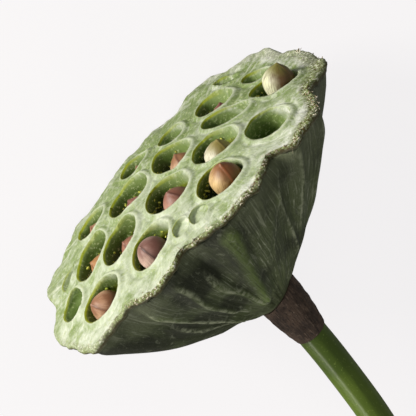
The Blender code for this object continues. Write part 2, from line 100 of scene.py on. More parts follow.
# Folds of the outer wall and the thin creases that run along them: angle and share of the way out
# where each starts, the same where it ends, height in mm and half width in degrees
FOLDS = (
    (91, 1.0, 79, 0.3, 3.2, 6.5), (128, 1.0, 96, 0.6, 1.0, 4), (119, 0.85, 129, 0.33, 1.0, 4.5),
    (133, 1.0, 133, 0.6, 0.4, 3), (150, 0.95, 146, 0.5, 0.5, 4), (60, 0.95, 57, 0.5, 1.5, 4.5),
    (69, 0.78, 71, 0.2, 1.5, 5), (40, 0.88, 47, 0.3, 1.6, 5), (33, 0.65, 32, 0.2, 0.9, 4.5),
    (18, 1.0, 18, 0.3, 1.0, 6), (0, 1.0, 4, 0.3, 0.6, 7), (168, 1.0, 168, 0.3, 1.0, 6),
    (187, 0.9, 190, 0.3, 1.3, 5), (208, 1.0, 205, 0.2, 2.0, 7), (229, 0.95, 224, 0.25, 1.4, 6),
    (254, 1.0, 247, 0.2, 2.0, 6), (289, 1.0, 284, 0.25, 2.0, 6), (310, 0.95, 306, 0.3, 1.5, 6),
    (330, 1.0, 330, 0.2, 2.1, 7),
)
CREASES = (
    (128, 0.97, 104, 0.62, 0.5, 1.4), (119, 0.85, 129, 0.33, 0.45, 1.6), (133, 1.0, 134, 0.5, 0.4, 1.4),
    (120, 0.95, 106, 0.9, 0.35, 1.2), (69, 0.8, 74, 0.2, 0.6, 2.0), (60, 0.93, 57, 0.45, 0.5, 1.8),
    (40, 0.88, 47, 0.3, 0.6, 1.8), (33, 0.65, 33, 0.2, 0.5, 1.8), (149, 0.95, 146, 0.6, 0.4, 1.5),
    (208, 0.9, 206, 0.3, 0.5, 1.8), (254, 0.9, 248, 0.3, 0.5, 1.8), (330, 0.9, 330, 0.3, 0.5, 1.8),
    (289, 0.9, 285, 0.3, 0.5, 1.8), (229, 0.8, 224, 0.3, 0.4, 1.8), (310, 0.85, 307, 0.3, 0.4, 1.8),
)
NECK = np.array([3.0, 0.0, -48.2])
NECK_RADIUS = 7.9
NECK_SLOPE = 0.24
# How the pod lies on the table: its turn in degrees, then its shift in mm
LYING_TURN = 72.25
LYING_SHIFT = (0.075, -62.665, 49.78)
# Where the rim is most torn, in degrees
TORN_MIDDLE = 112


def laid(points):
    """From the pod's frame in mm to the table's in metres: turned about X, moved so that the rim and
    the stalk stand on Z = 0, and pressed flat where they touch it."""
    turn = np.array(Matrix.Rotation(radians(LYING_TURN), 3, "X"))
    out = (np.asarray(points) @ turn.T + LYING_SHIFT) * 0.001
    out[:, 2] = np.maximum(out[:, 2], 0)
    return out


def cloud(points, size, seed=0):
    """A smooth random field from -1 to 1: random values at the corners of cubes of the given size,
    blended between them with a smoothstep along each axis."""
    scaled = np.atleast_2d(points) / size + 17.3 * seed
    corner = np.floor(scaled).astype(np.int64)
    t = scaled - corner
    t = t * t * (3 - 2 * t)
    total = np.zeros(len(scaled))
    for step in product((0, 1), repeat=scaled.shape[1]):
        at = corner + np.array(step)
        key = (at * np.array([73856093, 19349663, 83492791])[: at.shape[1]]).sum(axis=1) + seed * 9176
        key = ((key ^ (key >> 13)) * 1274126177) & 0x7FFFFFFF
        key = ((key ^ (key >> 15)) * 668265263) & 0x7FFFFFFF
        share = np.prod(np.where(np.array(step) == 1, t, 1 - t), axis=1)
        total += share * (((key >> 8) & 0xFFFF) / 32767.5 - 1)
    return total


def round_the_rim(angle, column):
    """A column of RIM as a smooth periodic function of the angle: cubic pieces between the rows."""
    knots = np.radians([row[0] for row in RIM])
    sizes = np.array([row[column] for row in RIM], dtype=float)
    knots = np.concatenate([knots[-2:] - 2 * pi, knots, knots[:2] + 2 * pi])
    sizes = np.concatenate([sizes[-2:], sizes, sizes[:2]])
    slopes = np.gradient(sizes, knots)
    angle = np.mod(angle, 2 * pi)
    i = np.clip(np.searchsorted(knots, angle) - 1, 0, len(knots) - 2)
    step = knots[i + 1] - knots[i]
    t = (angle - knots[i]) / step
    return (
        sizes[i] * (1 + 2 * t) * (1 - t) ** 2
        + slopes[i] * step * t * (1 - t) ** 2
        + sizes[i + 1] * t * t * (3 - 2 * t)
        + slopes[i + 1] * step * t * t * (t - 1)
    )


def bare_face(x, y):
    """Height of the face without its lips: a dome that falls with the square of x and of y, turned up
    or down along the rim by the sixth power of the way out."""
    share = np.hypot(x, y) / round_the_rim(np.arctan2(y, x), 1)
    dome = 5 - 12 * (x / 59) ** 2 - 4 * (y / 50) ** 2
    return dome + round_the_rim(np.arctan2(y, x), 2) * np.clip(share, 0, 1.05) ** 6


def from_mouths(x, y):
    """For every point and cell: distance from the cell's middle as a share of its mouth (1 on the
    edge), and the point's offset in the mouth's own turned axes."""
    rows = np.array([cell[:5] for cell in CELLS.values()])
    dx, dy = x[:, None] - rows[:, 0], y[:, None] - rows[:, 1]
    turn = np.radians(rows[:, 4])
    u = np.cos(turn) * dx + np.sin(turn) * dy
    v = -np.sin(turn) * dx + np.cos(turn) * dy
    return np.hypot(u / (rows[:, 2] / 2), v / (rows[:, 3] / 2)), u, v


def grid_of_disc(n):
    """A square grid of n by n quads carried onto the unit disc: each concentric square becomes a
    circle, so the share of the way out is max(|a|, |b|) and the angle runs evenly along its side."""
    a, b = np.meshgrid(np.linspace(-1, 1, n + 1), np.linspace(-1, 1, n + 1))
    a, b = a.ravel(), b.ravel()
    share = np.maximum(np.abs(a), np.abs(b))
    wide = np.abs(a) >= np.abs(b)
    safe_a, safe_b = np.where(a == 0, 1, a), np.where(b == 0, 1, b)
    angle = np.where(wide, pi / 4 * b / safe_a, pi / 2 - pi / 4 * a / safe_b)
    angle = angle + np.where(np.where(wide, a, b) < 0, pi, 0)
    rows = np.arange((n + 1) ** 2).reshape(n + 1, n + 1)
    quads = np.stack([rows[:-1, :-1], rows[:-1, 1:], rows[1:, 1:], rows[1:, :-1]], axis=-1)
    edge = np.concatenate([rows[0, :-1], rows[:-1, -1], rows[-1, :0:-1], rows[:0:-1, 0]])
    return share, angle, quads.reshape(-1, 4), edge


def bands(rows, turned=False):
    """Quads between each closed row of point numbers and the next, facing the other way if turned."""
    rows = np.asarray(rows)
    after = np.roll(rows, -1, axis=1)
    quads = np.stack([rows[:-1], rows[1:], after[1:], after[:-1]], axis=-1).reshape(-1, 4)
    return quads[:, [0, 3, 2, 1]] if turned else quads


def fan(hub, row):
    """Triangles from one point to a closed row of point numbers, round it in the row's order."""
    return np.stack([np.full(len(row), hub), row, np.roll(row, -1)], axis=1)


def fold_height(angle, share, folds, floor):
    """Sum of the wall's folds in mm: each is a bell across the line from its start to its end, and
    fades in and out over a tenth of the way. Between folds the wall sinks by floor."""
    total = np.full_like(angle, -floor)
    for start_angle, start, end_angle, end, height, width in folds:
        along = np.clip((start - share) / (start - end), 0, 1)
        line = np.radians(start_angle + (end_angle - start_angle) * along)
        across = (np.mod(angle - line + pi, 2 * pi) - pi) / radians(width)
        fade = np.clip((start + 0.1 - share) / 0.1, 0, 1) * np.clip((share - end + 0.1) / 0.1, 0, 1)
        total += height * fade * np.exp(-(across**2))
    return total * np.clip((1 - share) / 0.06, 0, 1) * np.clip(share / 0.15, 0, 1)


def put(name, points, faces, values=None):
    """A smooth mesh object from an array of points and a list of face arrays, each of faces with
    one number of corners, and a float or vector attribute per named value."""
    mesh = bpy.data.meshes.new(name)
    corners = np.concatenate([group.ravel() for group in faces]).astype(np.int32)
    sizes = np.concatenate([np.full(len(group), group.shape[1]) for group in faces])
    mesh.vertices.add(len(points))
    mesh.vertices.foreach_set("co", np.asarray(points, dtype=np.float32).ravel())
    mesh.loops.add(len(corners))
    mesh.loops.foreach_set("vertex_index", corners)
    mesh.polygons.add(len(sizes))
    mesh.polygons.foreach_set("loop_start", (np.cumsum(sizes) - sizes).astype(np.int32))
    mesh.update(calc_edges=True)
    mesh.shade_smooth()
    for key, value in (values or {}).items():
        value = np.asarray(value, np.float32)
        kind, field = ("FLOAT_VECTOR", "vector") if value.ndim == 2 else ("FLOAT", "value")
        mesh.attributes.new(key, kind, "POINT").data.foreach_set(field, value.ravel())
    obj = bpy.data.objects.new(name, mesh)
    bpy.context.scene.collection.objects.link(obj)
    return obj


def linear(code):
    """An sRGB hex colour as the linear RGBA that shaders take."""
    parts = [int(code[i : i + 2], 16) / 255 for i in (1, 3, 5)]
    return (*[c / 12.92 if c <= 0.04045 else ((c + 0.055) / 1.055) ** 2.4 for c in parts], 1)


def add(tree, kind, inputs=None, out=0, **settings):
    """Adds a shader node with its settings and returns one of its outputs. Each input takes a value, a
    hex colour, or a link where it is given another node's output."""
    node = tree.nodes.new("ShaderNode" + kind)
    for key, value in settings.items():
        setattr(node, key, value)
    for key, value in (inputs or {}).items():
        if isinstance(value, bpy.types.NodeSocket):
            tree.links.new(value, node.inputs[key])
        else:
            node.inputs[key].default_value = linear(value) if isinstance(value, str) else value
    return node.outputs[out]


COLOUR = {"data_type": "RGBA", "out": 2}
SOFT = {"interpolation_type": "SMOOTHSTEP"}


def coats(tree, colour, rows):
    """Lays coats over a colour. Each row: the pattern that a coat follows, where on it the coat starts
    and where it is full, how much it covers at most, its colour, and a mask where one holds it back."""
    for pattern, start, full, most, coat, *masks in rows:
        cover = add(tree, "MapRange", {0: pattern, 1: start, 2: full, 4: most}, **SOFT)
        for mask in masks:
            cover = add(tree, "Math", {0: cover, 1: mask}, operation="MULTIPLY")
        colour = add(tree, "Mix", {0: cover, 6: colour, 7: coat}, **COLOUR)
    return colour


def finish(name, make):
    """A material with a Principled shader, whose sockets the given function sets and links."""
    material = bpy.data.materials.new(name)
    material.use_nodes = True
    tree = material.node_tree
    make(tree, tree.nodes["Principled BSDF"])
    return material


def lips(x, y):
    """How high a lip stands at a point of the face, about 1 at most: full at a mouth's edge, falling
    as a bell outside it, a little taller and broader on its -X +Y side; neighbours merge as the fourth
    root of their fourth powers. Also the groove round it, a bell 2 mm out where no lip stands."""
    share, u, v = from_mouths(x, y)
    reach = np.hypot(u, v) / np.maximum(share, 1e-6)
    outside = np.maximum((share - 1) * reach, 0)
    rows = list(CELLS.values())
    tall = np.array([1.0 if cell[5] > 4 else 0.6 for cell in rows])
    facing = np.cos(np.arctan2(v, u) + np.radians([cell[4] for cell in rows]) - radians(150))
    tall = tall * (0.9 + 0.1 * facing)
    width = 0.8 + 0.6 * np.clip(facing, 0, 1)
    crest = ((tall * np.exp(-((np.maximum(outside - 0.3, 0) / width) ** 2))) ** 4).sum(axis=1) ** 0.25
    groove = np.exp(-(((outside - 2.0) / 0.75) ** 2)).max(axis=1) * np.clip(1 - crest * 1.5, 0, 1)
    return crest, groove


def face(x, y):
    """Height of the face: dome, lips of 0.7 mm, grooves of 0.3 mm, and swells from three clouds."""
    crest, groove = lips(x, y)
    place = np.stack([x, y], axis=1)
    swell = 0.7 * cloud(place, 9, 1) + 0.3 * cloud(place, 4.2, 2) + 0.08 * cloud(place, 1.7, 13)
    return bare_face(x, y) + 0.7 * crest - 0.28 * groove + swell - 0.25


# Profile of a cell from its mouth's edge to the middle of its floor: share of the way, share of the
# mouth's half width, share of the depth, for a bare wall and for a skin that slopes in to a cut edge
PROFILE = np.array([0, 0.05, 0.12, 0.22, 0.34, 0.40, 0.46, 0.60, 0.74, 0.87, 1])
WALL_IN = (1, 0.985, 0.985, 0.99, 1.0, 1.0, 0.99, 0.93, 0.74, 0.42, 0)
WALL_DOWN = (0, 0.07, 0.16, 0.28, 0.43, 0.5, 0.58, 0.76, 0.9, 0.98, 1)
SKIN_IN = (1, 0.95, 0.90, 0.845, 0.78, 0.79, 0.92, 0.93, 0.72, 0.4, 0)
SKIN_DOWN = (0, 0.03, 0.08, 0.17, 0.30, 0.36, 0.5, 0.76, 0.9, 0.98, 1)


def down_the_cell(which, edge_x, edge_y, s):
    """Points in cells: from the mouth's edge, at an offset from the cell's middle, s runs from 0 to 1
    at the floor's middle. Width and depth are read off the wall's profile, or off the skin's round
    195 degrees, where it slopes in, and the whole leans to aim the cell at CELL_FOCUS."""
    rows = np.array(list(CELLS.values()))[which]
    slope = rows[:, 6] * np.clip(np.cos(np.arctan2(edge_y, edge_x) - radians(195)), 0, 1) ** 0.8
    inward = np.interp(s, PROFILE, WALL_IN) * (1 - slope) + np.interp(s, PROFILE, SKIN_IN) * slope
    down = np.interp(s, PROFILE, WALL_DOWN) * (1 - slope) + np.interp(s, PROFILE, SKIN_DOWN) * slope
    middle = bare_face(rows[:, 0], rows[:, 1])
    level = np.clip(s / 0.55, 0, 1) ** 1.5
    lean = (rows[:, :2] - CELL_FOCUS[:2]) / (middle - CELL_FOCUS[2])[:, None]
    fall = down * rows[:, 5]
    x, y = rows[:, 0] + edge_x, rows[:, 1] + edge_y
    lumps = cloud(np.stack([x, y, fall * 2], axis=1), 2.4, 5) * np.clip(s / 0.1, 0, 1)
    top = face(x, y)
    x = rows[:, 0] + edge_x * inward * (1 + lumps * 0.02) - lean[:, 0] * fall
    y = rows[:, 1] + edge_y * inward * (1 + lumps * 0.02) - lean[:, 1] * fall
    z = top * (1 - level) + middle * level - fall + lumps * 0.14
    return np.stack([x, y, z], axis=1), fall, slope


def torn_side(angle):
    """How torn the rim is at an angle, from 0.15 to 1: most where it faces +Y, least behind."""
    return np.clip(0.62 + 0.75 * np.cos(angle - radians(TORN_MIDDLE)), 0.15, 1)


# Rounds that turn over the rim's edge: way out and down from it in mm, and how much each shows of
# the wall's skin, of torn cork and of brown
ROUNDS = np.array(
    [
        (0.35, 0.35, 0, 1, 0),
        (0.6, 0.9, 0, 1, 0.3),
        (0.5, 1.5, 0.3, 1, 0.9),
        (0.1, 2.0, 0.85, 0.8, 0.55),
        (-0.5, 2.5, 1, 0.3, 0.2),
    ]
)


def pod_face(n=224):
    """The face on a disc grid, with every point inside a mouth carried down its cell. Gives its points,
    quads and edge, the share of the way out and the angle of each point, and the skin's numbers."""
    share, angle, quads, edge = grid_of_disc(n)
    circle = np.stack([np.cos(angle), np.sin(angle)], axis=1)
    torn = 0.8 * cloud(circle * 50, 6.5, 3) + 0.4 * cloud(circle * 50, 2.3, 4)
    calm = 53 + 2.5 * np.cos(angle * 2 + 0.2)
    reach = calm + (round_the_rim(angle, 1) - 0.6 - calm) * share**4
    reach += torn * np.clip((share - 0.9) / 0.1, 0, 1)
    x, y = share * reach * np.cos(angle), share * reach * np.sin(angle)

    # Points within 0.27 mm of a mouth's edge are moved onto it, so that the edge is one clean line
    cells = np.array(list(CELLS.values()))
    near, u, v = from_mouths(x, y)
    which = near.argmin(axis=1)
    each = np.arange(len(x))
    ring, u, v = near[each, which], u[each, which], v[each, which]
    snap = np.abs(ring - 1) * np.hypot(u, v) / np.maximum(ring, 1e-6) < 0.27
    move = np.where(snap, 1 / np.maximum(ring, 1e-6), 1)
    cx, cy, depth = cells[which][:, [0, 1, 5]].T
    x, y = cx + (x - cx) * move, cy + (y - cy) * move
    ring = np.where(snap, 1.0, ring)
    crest, groove = lips(x, y)
    near_rim = np.clip((share - 0.7) / 0.25, 0, 1)
    streaks = cloud(np.column_stack([circle * 52, share * 9]), 1.9, 14)
    z = face(x, y) + 0.22 * near_rim * streaks
    toward = np.arctan2(y - cy, x - cx)

    inside = ring < 1
    s = 1 - ring[inside]
    span = np.maximum(ring[inside], 1e-6)
    edge_x, edge_y = (x - cx)[inside] / span, (y - cy)[inside] / span
    floor, fall, slope = down_the_cell(which[inside], edge_x, edge_y, s)
    x[inside], y[inside], z[inside] = floor.T
    crest[inside] = 0
    deep = -np.clip((ring - 1) * np.hypot(x - cx, y - cy) / np.maximum(ring, 1e-6), 0, 3)
    deep[inside] = fall * (1 - 0.75 * slope * np.clip((0.42 - s) / 0.05, 0, 1))
    # Painted shade down a cell: paler on the side that faces +X and the light, darker across from it
    gloom = np.array([OPEN_GLOOM if name in OPEN_CELLS else 1.0 for name in CELLS])[which[inside]]
    gloom = np.where(depth[inside] < SHALLOW, SHALLOW_GLOOM, gloom)
    dark = np.maximum(deep, 0)
    away = np.cos(toward[inside] + radians(15))
    dark[inside] *= gloom * (1 + np.where(gloom < 1, 0.9, 0.6) * away)
    # Wax gathers in the grooves and near the rim, most on the -X +Y side. In the cells that the light
    # reaches, the wall at the -X end faces it and is painted pale as well: painted light
    wax_and_lit_wall = np.maximum(groove, near_rim * (ring > 1.25)) * (0.45 + 0.55 * near_rim)
    wax_and_lit_wall *= (0.7 - 0.4 * np.tanh(x / 32)) * (0.9 + 0.2 * np.tanh(y / 25))
    wax_and_lit_wall[inside] = np.clip(-np.cos(toward[inside]), 0, 1) * np.where(gloom < 1, 0.4 + gloom, 0)
    ledge = np.zeros(len(x))
    ledge[inside] = np.exp(-(((s - 0.37) / 0.055) ** 2)) * np.clip(slope * 1.6, 0, 1)
    # Painted light: an olive glow at a cell's thin edge, as if light came through, most on its +X -Y
    # side
    thin = np.clip(np.cos(toward + radians(35)) * 0.9 + 0.3, 0, 1)
    thin[inside] *= np.clip(gloom * 2, 0, 1)

    # A torn border up to 5 mm wide, crumbling in two sizes
    side = torn_side(angle)
    wide = 0.8 + side * (1.0 + 3.0 * np.clip((angle - radians(72)) / radians(30), 0, 1))
    scurf = side * np.clip((share - 1 + wide / 50) / (0.5 * wide / 50), 0, 1)
    place = np.stack([x, y], axis=1)
    z += scurf * (0.35 * cloud(place, 2.6, 6) + 0.2 * cloud(place, 1.1, 7) - 0.1)
    skin = {
        "deep": deep,
        "dark": dark,
        "thin": thin,
        "ledge": ledge,
        "lip": crest,
        "wax_and_lit_wall": wax_and_lit_wall,
        "scurf": scurf,
        "outer": np.clip((share - 0.62) / 0.3, 0, 1),
        # Painted light: a slope of light over the face, higher towards +X and +Y
        "painted_light_slope": 0.5 * np.tanh(x / 32) + 0.8 * np.tanh(y / 25),
    }
    return np.stack([x, y, z], axis=1), quads, edge, share, angle, skin


def pod_wall(bound, rows=44):
    """The outer wall in rows from the rim to the neck: points, share of the way down, and heights of
    its creases and folds. A column of it runs straight in towards the neck and falls by a power of
    the way added to a line; the folds move it outwards."""
    out = np.stack([np.cos(bound), np.sin(bound), 0 * bound], axis=1)
    rim = round_the_rim(bound, 1)
    rim_x, rim_y = rim * np.cos(bound), rim * np.sin(bound)
    rim_z = bare_face(rim_x, rim_y) - 1.6
    # Under the step at 128 degrees the wall follows the rim's mean, under the lobe at 152 it bulges
    eased = np.mean([round_the_rim(bound + radians(d), 1) for d in (-12, -6, 0, 6, 12)], axis=0) - rim
    eased *= np.exp(-(((bound - radians(128)) / radians(14)) ** 2))
    eased += 1.8 * np.exp(-(((bound - radians(152)) / radians(10)) ** 2))
    neck_x, neck_y = NECK[0] + NECK_RADIUS * np.cos(bound), NECK[1] + NECK_RADIUS * np.sin(bound)
    neck_z = NECK[2] - NECK_SLOPE * NECK_RADIUS * np.cos(bound)
    cone = 0.68 - 0.04 * np.cos(bound)
    made = []
    for t in np.linspace(0.018, 1, rows):
        q = np.full(len(bound), 1 - t**1.12)
        drop = (1 - cone) * (1 - q**2.4) + cone * (1 - q)
        fine = 0.14 * cloud(out * 48 + np.outer(q, (0, 0, 5)), 1.1, 9)
        fine += 0.5 * cloud(out * 44 + np.outer(q, (0, 0, 15)), 3.6, 16)
        soft = 0.8 * cloud(out * 40 + np.outer(q, (0, 0, 34)), 10, 10)
        waver = bound + radians(2.6) * cloud(out * 12 + np.outer(q, (0, 0, 40)), 7, 17)
        crease = fold_height(waver, q, CREASES, 0)
        fold = fold_height(waver, q, FOLDS, 0.5) + crease + (fine + soft) * np.clip((1 - q) / 0.1, 0, 1)
        fold *= np.clip(q / 0.12, 0, 1)
        tuck = -0.9 * np.exp(-(((1 - q) / 0.03) ** 2))
        outward = fold * 0.8 + tuck + eased * q * np.clip((1 - q) / 0.12, 0, 1)
        px = neck_x + (rim_x - neck_x) * q + outward * np.cos(bound)
        py = neck_y + (rim_y - neck_y) * q + outward * np.sin(bound)
        pz = rim_z + (neck_z - rim_z) * drop - fold * 0.6
        made.append((np.stack([px, py, pz], axis=1), 1 - q, crease, np.maximum(fold, 0)))
    return [np.array(part) for part in zip(*made)]


# What the skin's material reads at each point: share of the wall's skin; mm down a cell, and the
# painted shade down it; a thin edge with a painted glow of light; the ledge of a sloping skin; lip;
# wax gathered in grooves, with painted light in the open cells; torn scurf; brown brim; outer part
# of the face; share of the way down the wall; crease; fold; a slope of painted light and shade
SKIN_NUMBERS = (
    "wall", "deep", "dark", "thin", "ledge", "lip", "wax_and_lit_wall",
    "scurf", "brim", "outer", "down", "crease", "fold", "painted_light_slope",
)


def pod_surface():
    """The whole pod as one closed surface: the face, the rounds over its edge, and the wall down to
    the neck's middle, in as many columns as the face's edge has points."""
    face_points, quads, edge, share, angle, skin = pod_face()
    bound, columns = angle[edge], len(edge)
    side = torn_side(bound)
    out = np.stack([np.cos(bound), np.sin(bound), 0 * bound], axis=1)
    rounds = []
    for further, lower in ROUNDS[:, :2]:
        line = face_points[edge] + out * further - (0, 0, lower)
        ragged = 0.35 * cloud(line * (1, 1, 2), 2.2, 8) + 0.2 * cloud(line * (1, 1, 2), 0.8, 15)
        rounds.append(line + out * (ragged * side)[:, None])
    walls, along, creases, folds = pod_wall(bound)
    points = np.concatenate([face_points, *rounds, *walls, NECK[None]])
    rows = np.arange(len(face_points), len(points) - 1).reshape(-1, columns)
    rows = np.concatenate([edge[None], rows])
    faces = [np.concatenate([quads, bands(rows)]), fan(len(points) - 1, rows[-1, ::-1])]

    # The skin's numbers beyond the face, where they aren't 0: on the rounds, the wall and its tip
    beyond = {
        "wall": (np.repeat(ROUNDS[:, 2], columns), 1, 1),
        "scurf": (np.outer(ROUNDS[:, 3], side), 0, 0),
        "brim": (np.repeat(ROUNDS[:, 4], columns), 0, 0),
        "outer": (1, 1, 1),
        "down": (0, along, 1),
        "crease": (0, creases, 0),
        "fold": (0, folds, 0),
        # Painted light on the wall: higher towards -X, lower towards +X
        "painted_light_slope": (0, -np.tanh(walls[..., 0] / 25), 0),
    }
    sizes = (len(face_points), len(rounds) * columns, len(walls) * columns, 1)
    values = {}
    for name in SKIN_NUMBERS:
        parts = skin.get(name, 0), *beyond.get(name, (0, 0, 0))
        parts = [np.broadcast_to(np.ravel(part), size) for part, size in zip(parts, sizes)]
        values[name] = np.concatenate(parts)
    values["fall_line"] = np.concatenate(
        [
            np.column_stack([np.cos(angle), np.sin(angle), share * 0.12]),
            *[out + (0, 0, 0.12) for _ in rounds],
            *[out + np.outer(0.14 + 0.1 * row, (0, 0, 1)) for row in along],
            [[0, 0, 0.3]],
        ]
    )
    return points, faces, values


def pod_skin(tree, shader):
    """Living lotus skin: pale green under a matt wax bloom that lies in patches and streaks on the
    face, a painted olive glow where light comes through the thin edge of a cell, torn brown and white
    cork on the rim, and a velvet of tiny wax rods on the dark wall, rubbed pale along its creases.
    Shade and light are painted in too: shade down the cells and on their side away from the light,
    light on the -X end of the open cells, a slope of light and shade over the face and the wall, a
    highlight along the lips' crests and brighter green on the tops of the wall's folds."""
    place = add(tree, "TexCoord", out="Object")
    fall = add(tree, "Attribute", attribute_name="fall_line", out="Vector")
    wall, deep, dark, thin, ledge, lip, wax_and_lit_wall, scurf, brim, outer, down, crease, fold, painted_light_slope = [
        add(tree, "Attribute", attribute_name=name, out="Fac") for name in SKIN_NUMBERS
    ]

    # Patterns: coordinates, scale in spots to the metre (or to 50 mm, on the lines of fall), detail,
    # roughness and distortion
    patterns = (
        (place, 140, 7, 0.68, 0),  # patches of bloom, 7 mm, with ever smaller ones inside them
        (place, 70, 5, 0.7, 0),  # drifts of gathered wax, 14 mm
        (place, 400, 6, 0.65, 0.8),  # mottle, 2.5 mm
        (place, 1000, 3, 0.6, 0),  # grains of wax, 1 mm
        (fall, 40, 5, 0.6, 0),  # streaks that run to the rim, 1.2 mm wide
        (place, 1200, 4, 0.7, 0),  # crumbs of cork, 0.8 mm
        (place, 60, 4, 0.5, 0),  # dark and green patches of the wall, 17 mm
        (fall, 62, 5, 0.6, 0.6),  # striations from the rim to the neck, 0.8 mm wide
        (place, 260, 7, 0.7, 1.6),  # torn wisps of bloom on the wall, 4 mm
    )
    patches, drift, mottle, grains, streaks, crumbs, cloudy, lines, wisps = [
        add(tree, "TexNoise", dict(zip(("Vector", "Scale", "Detail", "Roughness", "Distortion"), row)))
        for row in patterns
    ]

    # Face: a ground of fresh green under the bloom, with a painted slope of light and shade over it
    uneven = add(tree, "Math", {0: painted_light_slope, 1: 0.08, 2: patches}, operation="MULTIPLY_ADD")
    drift = add(tree, "Math", {0: wax_and_lit_wall, 1: 0.12, 2: drift}, operation="MULTIPLY_ADD")
    skin = coats(tree, "#869960", [
        (uneven, 0.36, 0.68, 1, "#c0cab0"),  # bloom, a little more of it where the painted light is higher
        (painted_light_slope, 0.4, -1.0, 0.6, "#6f8346"),  # painted shade: fresher, darker green where the painted light is lower
        (drift, 0.53, 0.68, 1, "#f0f2ec", wax_and_lit_wall),  # wax that has gathered, and painted light on the -X end of the open cells
        (mottle, 0.5, 0.64, 0.4, "#dde3d2"),  # flecks of wax
        (mottle, 0.46, 0.33, 0.4, "#6f8545"),  # bare spots between them
        (streaks, 0.52, 0.7, 0.6, "#dfe3d3", outer),
        (streaks, 0.46, 0.3, 0.25, "#7a9045", outer),
        (lip, 0.55, 1.0, 0.55, "#d5dcc6"),  # the lips' paler crests: pale wax, with a painted highlight along them
    ])

    # Cells: painted shade, greener and darker with depth and on the side away from the light, with
    # grains of wax, and a painted olive glow just inside a thin edge
    cell = coats(tree, skin, [
        (dark, 0.0, 0.9, 1, "#758b4b"),
        (dark, 0.8, 3.2, 1, "#4d6524"),
        (dark, 3.2, 7.5, 1, "#33431a"),
        (grains, 0.55, 0.66, 0.65, "#b4c08c"),
    ])
    # Painted light: an olive glow from just outside a cell's thin edge to just inside it; the same
    # olive on the ledge of a sloping skin
    starts = add(tree, "MapRange", {0: deep, 1: -0.3, 2: -0.05}, **SOFT)
    stops = add(tree, "MapRange", {0: deep, 1: 0.95, 2: 0.5}, **SOFT)
    band = add(tree, "Math", {0: starts, 1: stops}, operation="MULTIPLY")
    band = add(tree, "Math", {0: band, 1: thin}, operation="MULTIPLY")
    band = add(tree, "Math", {0: band, 1: ledge}, operation="MAXIMUM")
    top = add(tree, "Mix", {0: band, 6: cell, 7: "#8f9b20"}, **COLOUR)

    # Rim: cork in crumbs, brown between them, white where it has flaked
    cork = coats(tree, "#51431f", [
        (crumbs, 0.42, 0.5, 1, "#84935a"),
        (crumbs, 0.54, 0.61, 1, "#e2e0d0"),
    ])
    broken = add(tree, "MapRange", {0: patches, 1: 0.34, 2: 0.5, 3: 0.55}, **SOFT)
    flaked = add(tree, "Math", {0: scurf, 1: broken}, operation="MULTIPLY")
    top = add(tree, "Mix", {0: flaked, 6: top, 7: cork}, **COLOUR)

    # Wall: velvet, dark and greener by turns, with painted light towards -X and painted shade towards
    # +X, lit by bloom, paler where the creases are rubbed
    cloudy = add(tree, "Math", {0: painted_light_slope, 1: 0.12, 2: cloudy}, operation="MULTIPLY_ADD")
    shade = add(tree, "MapRange", {0: cloudy, 1: 0.34, 2: 0.6}, **SOFT)
    worn = add(tree, "MapRange", {0: wisps, 1: 0.36, 2: 0.6}, **SOFT)
    velvet = add(tree, "Mix", {0: shade, 6: "#282d19", 7: "#4b5534"}, **COLOUR)
    velvet = coats(tree, velvet, [
        (down, 0.3, 0.9, 0.2, "#5c6a31"),  # greener towards the neck: partly its own colour, partly painted light
        (fold, 0.8, 3.2, 0.7, "#6f8440"),  # painted highlight: brighter green on the tops of the folds
        (lines, 0.55, 0.66, 0.75, "#979c86", shade),
        (lines, 0.45, 0.34, 0.5, "#22271a"),
        (wisps, 0.53, 0.68, 0.5, "#858b74"),
        (down, 0.3, 0.02, 0.5, "#6d7259", shade),  # bloom below the rim
        (crease, 0.16, 0.56, 0.85, "#9da387", worn),
    ])
    whole = add(tree, "Mix", {0: wall, 6: top, 7: velvet}, **COLOUR)
    whole = add(tree, "Mix", {0: brim, 6: whole, 7: "#453a1a"}, **COLOUR)
    tree.links.new(whole, shader.inputs["Base Color"])
    shader.inputs["Roughness"].default_value = 0.6
    shader.inputs["IOR"].default_value = 1.42
    bump = add(tree, "Bump", {"Strength": 0.5, "Distance": 0.0004, "Height": grains})
    bump = add(tree, "Bump", {"Strength": 0.5, "Distance": 0.0012, "Height": patches, "Normal": bump})
    bump = add(tree, "Bump", {"Strength": 0.35, "Distance": 0.0008, "Height": lines, "Normal": bump})
    tree.links.new(bump, shader.inputs["Normal"])


points, faces, values = pod_surface()
pod = put("pod_skin_surface", laid(points), faces, values)
pod.data.materials.append(finish("fresh_lotus_skin", pod_skin))
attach(pod, "root")
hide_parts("pod")


# ---- Crumbs, flakes and fibres ----
# Yellow-green bits of dead stamen lie on the walls of the deep cells; cream and brown flakes of
# torn cork and a few dry fibres stick out of the rim. All are loose plant matter, each a few
# tenths of a millimetre thick.

CRUMBS_IN_A_CELL = 34
CRUMB_CELLS = ("a2", "a3", "b1", "b2", "b3", "c1", "c2", "d1", "d2", "d4", "e2")
random = np.random.default_rng(7)


def directions(count):
    """Random unit vectors, one a row."""
    rows = random.normal(size=(count, 3))
    return rows / np.linalg.norm(rows, axis=1)[:, None]


# Sides of a crumb, flake or fibre
SIDES = 5


